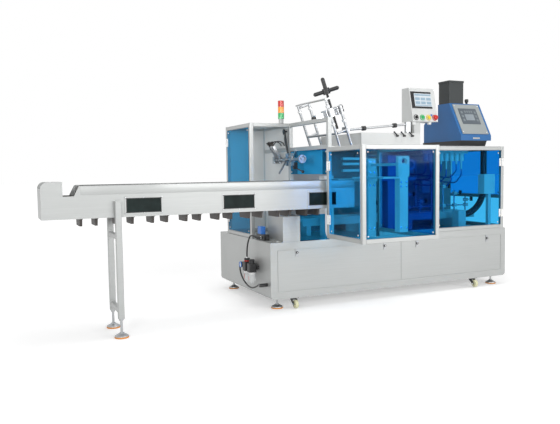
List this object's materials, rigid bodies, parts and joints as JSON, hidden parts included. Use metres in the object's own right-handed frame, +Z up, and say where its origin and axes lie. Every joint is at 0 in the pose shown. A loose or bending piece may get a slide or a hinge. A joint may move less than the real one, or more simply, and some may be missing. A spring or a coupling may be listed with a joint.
{
  "type": "automatic cartoner",
  "caption": "Horizontal packaging machine that opens cartons from a leaning magazine, fills them from a bucket infeed conveyor and glues them, behind blue guard doors.",
  "frame": {"origin": "middle of the whole machine's box, on the floor under the feet", "axes": "+X along the line from the infeed conveyor to the carton outlet, +Y away from the operator's side, +Z up"},
  "size_m": [3.828, 1.761, 1.794],
  "materials": {
    "grey_paint": "satin light grey paint",
    "steel": "bright steel",
    "orange_rubber": "moulded rubber",
    "black_steel": "black coating",
    "wheel_nylon": "cream nylon",
    "dark_window": "smoked window",
    "flight_plastic": "dark nylon",
    "blue_acrylic": "clear blue acrylic",
    "hinge_white": "white coating",
    "signal_cap": "light grey plastic",
    "signal_lens": "coloured lens",
    "screen": "black bezel",
    "black_plastic": "black plastic",
    "green_plastic": "green plastic",
    "yellow_plastic": "yellow plastic",
    "red_plastic": "red plastic",
    "blue_paint": "blue paint",
    "wall_grey": "dark grey paint",
    "coil_blue": "blue plastic",
    "panel_grey": "grey-green panel",
    "clear_bowl": "clear polycarbonate"
  },
  "bodies": {
    "machine": {"base_cabinet": "grey_paint", "base_panels": "grey_paint", "panel_latches": "steel", "levelling_feet": "steel", "foot_rings": "orange_rubber", "castor_plates": "black_steel", "conveyor_plates": "grey_paint", "conveyor_windows": "dark_window", "conveyor_bed": "steel", "bucket_chain": "flight_plastic", "bucket_flights": "flight_plastic", "conveyor_stand": "grey_paint", "conveyor_pedestal": "grey_paint", "guard_posts": "grey_paint", "guard_rails": "grey_paint", "guard_panes": "blue_acrylic", "door_hinges": "hinge_white", "cover_sheets": "grey_paint", "signal_tower": "signal_cap", "signal_lenses": "signal_lens", "panel_post": "grey_paint", "panel_box": "grey_paint", "panel_screen": "screen", "melter_foot": "black_steel", "melter_body": "blue_paint", "melter_panel": "panel_grey", "melter_hopper": "black_steel", "air_unit": "black_plastic", "air_bowls": "clear_bowl", "air_valve": "black_plastic", "valve_coil": "coil_blue", "air_hose_upper": "black_plastic", "air_hose_lower": "black_plastic", "magazine_frame": "steel", "magazine_adjuster": "steel", "clamp_levers": "black_plastic", "carton_picker": "steel", "picker_levers": "black_steel", "suction_cups": "black_plastic", "drive_wall": "wall_grey", "drive_frame": "steel", "carton_track": "steel", "glue_hose": "black_plastic"},
    "cage_door": {"cage_door": "blue_acrylic"},
    "front_guard_door": {"front_guard_door": "blue_acrylic"},
    "right_guard_door": {"right_guard_door": "blue_acrylic"},
    "selector_knob": {"selector_knob": "black_plastic"},
    "start_button": {"start_button": "green_plastic"},
    "reset_button": {"reset_button": "yellow_plastic"},
    "stop_button": {"stop_button": "red_plastic"},
    "hand_crank": {"hand_crank": "black_plastic"},
    "castor_fork_front_left": {"castor_fork_front_left": "black_steel"},
    "castor_fork_front_right": {"castor_fork_front_right": "black_steel"},
    "castor_fork_rear_left": {"castor_fork_rear_left": "black_steel"},
    "castor_fork_rear_right": {"castor_fork_rear_right": "black_steel"},
    "castor_wheel_front_left": {"castor_wheel_front_left": "wheel_nylon"},
    "castor_wheel_front_right": {"castor_wheel_front_right": "wheel_nylon"},
    "castor_wheel_rear_left": {"castor_wheel_rear_left": "wheel_nylon"},
    "castor_wheel_rear_right": {"castor_wheel_rear_right": "wheel_nylon"}
  },
  "joints": [
    {"name": "cage_door_hinge", "type": "hinge", "parent": "machine", "child": "cage_door", "pos_m": [-0.349, 0.6895, 0.9], "axis": [0, 0, -1], "range_deg": [0, 110]},
    {"name": "front_guard_door_hinge", "type": "hinge", "parent": "machine", "child": "front_guard_door", "pos_m": [-0.009, -0.4405, 0.8], "axis": [0, 0, -1], "range_deg": [0, 90]},
    {"name": "right_guard_door_hinge", "type": "hinge", "parent": "machine", "child": "right_guard_door", "pos_m": [1.861, -0.2025, 0.8], "axis": [0, 0, 1], "range_deg": [0, 110]},
    {"name": "castor_swivel_front_left", "type": "hinge", "parent": "machine", "child": "castor_fork_front_left", "pos_m": [-0.152, -0.1595, 0.0645], "axis": [0, 0, 1], "continuous": true},
    {"name": "castor_roll_front_left", "type": "hinge", "parent": "castor_fork_front_left", "child": "castor_wheel_front_left", "pos_m": [-0.152, -0.1955, 0.034], "axis": [1, 0, 0], "continuous": true},
    {"name": "castor_swivel_front_right", "type": "hinge", "parent": "machine", "child": "castor_fork_front_right", "pos_m": [1.57, -0.1595, 0.0645], "axis": [0, 0, 1], "continuous": true},
    {"name": "castor_roll_front_right", "type": "hinge", "parent": "castor_fork_front_right", "child": "castor_wheel_front_right", "pos_m": [1.57, -0.1955, 0.034], "axis": [1, 0, 0], "continuous": true},
    {"name": "castor_swivel_rear_left", "type": "hinge", "parent": "machine", "child": "castor_fork_rear_left", "pos_m": [-0.152, 0.8385, 0.0645], "axis": [0, 0, 1], "continuous": true},
    {"name": "castor_roll_rear_left", "type": "hinge", "parent": "castor_fork_rear_left", "child": "castor_wheel_rear_left", "pos_m": [-0.152, 0.8025, 0.034], "axis": [1, 0, 0], "continuous": true},
    {"name": "castor_swivel_rear_right", "type": "hinge", "parent": "machine", "child": "castor_fork_rear_right", "pos_m": [1.57, 0.8385, 0.0645], "axis": [0, 0, 1], "continuous": true},
    {"name": "castor_roll_rear_right", "type": "hinge", "parent": "castor_fork_rear_right", "child": "castor_wheel_rear_right", "pos_m": [1.57, 0.8025, 0.034], "axis": [1, 0, 0], "continuous": true},
    {"name": "selector_turn", "type": "hinge", "parent": "machine", "child": "selector_knob", "pos_m": [1.108, 0.01199, 1.45921], "axis": [0, 0.9781, -0.2079], "range_deg": [0, 60]},
    {"name": "start_press", "type": "slide", "parent": "machine", "child": "start_button", "axis": [0, 0.9781, -0.2079], "range_m": [0, 0.003], "stiffness_N_per_m": 400},
    {"name": "reset_press", "type": "slide", "parent": "machine", "child": "reset_button", "axis": [0, 0.9781, -0.2079], "range_m": [0, 0.003], "stiffness_N_per_m": 400},
    {"name": "stop_press", "type": "slide", "parent": "machine", "child": "stop_button", "axis": [0, 0.9781, -0.2079], "range_m": [0, 0.003], "stiffness_N_per_m": 400},
    {"name": "crank_turn", "type": "hinge", "parent": "machine", "child": "hand_crank", "pos_m": [0.28673, -0.1455, 1.22553], "axis": [-0.3256, 0, 0.9455], "continuous": true}
  ]
}
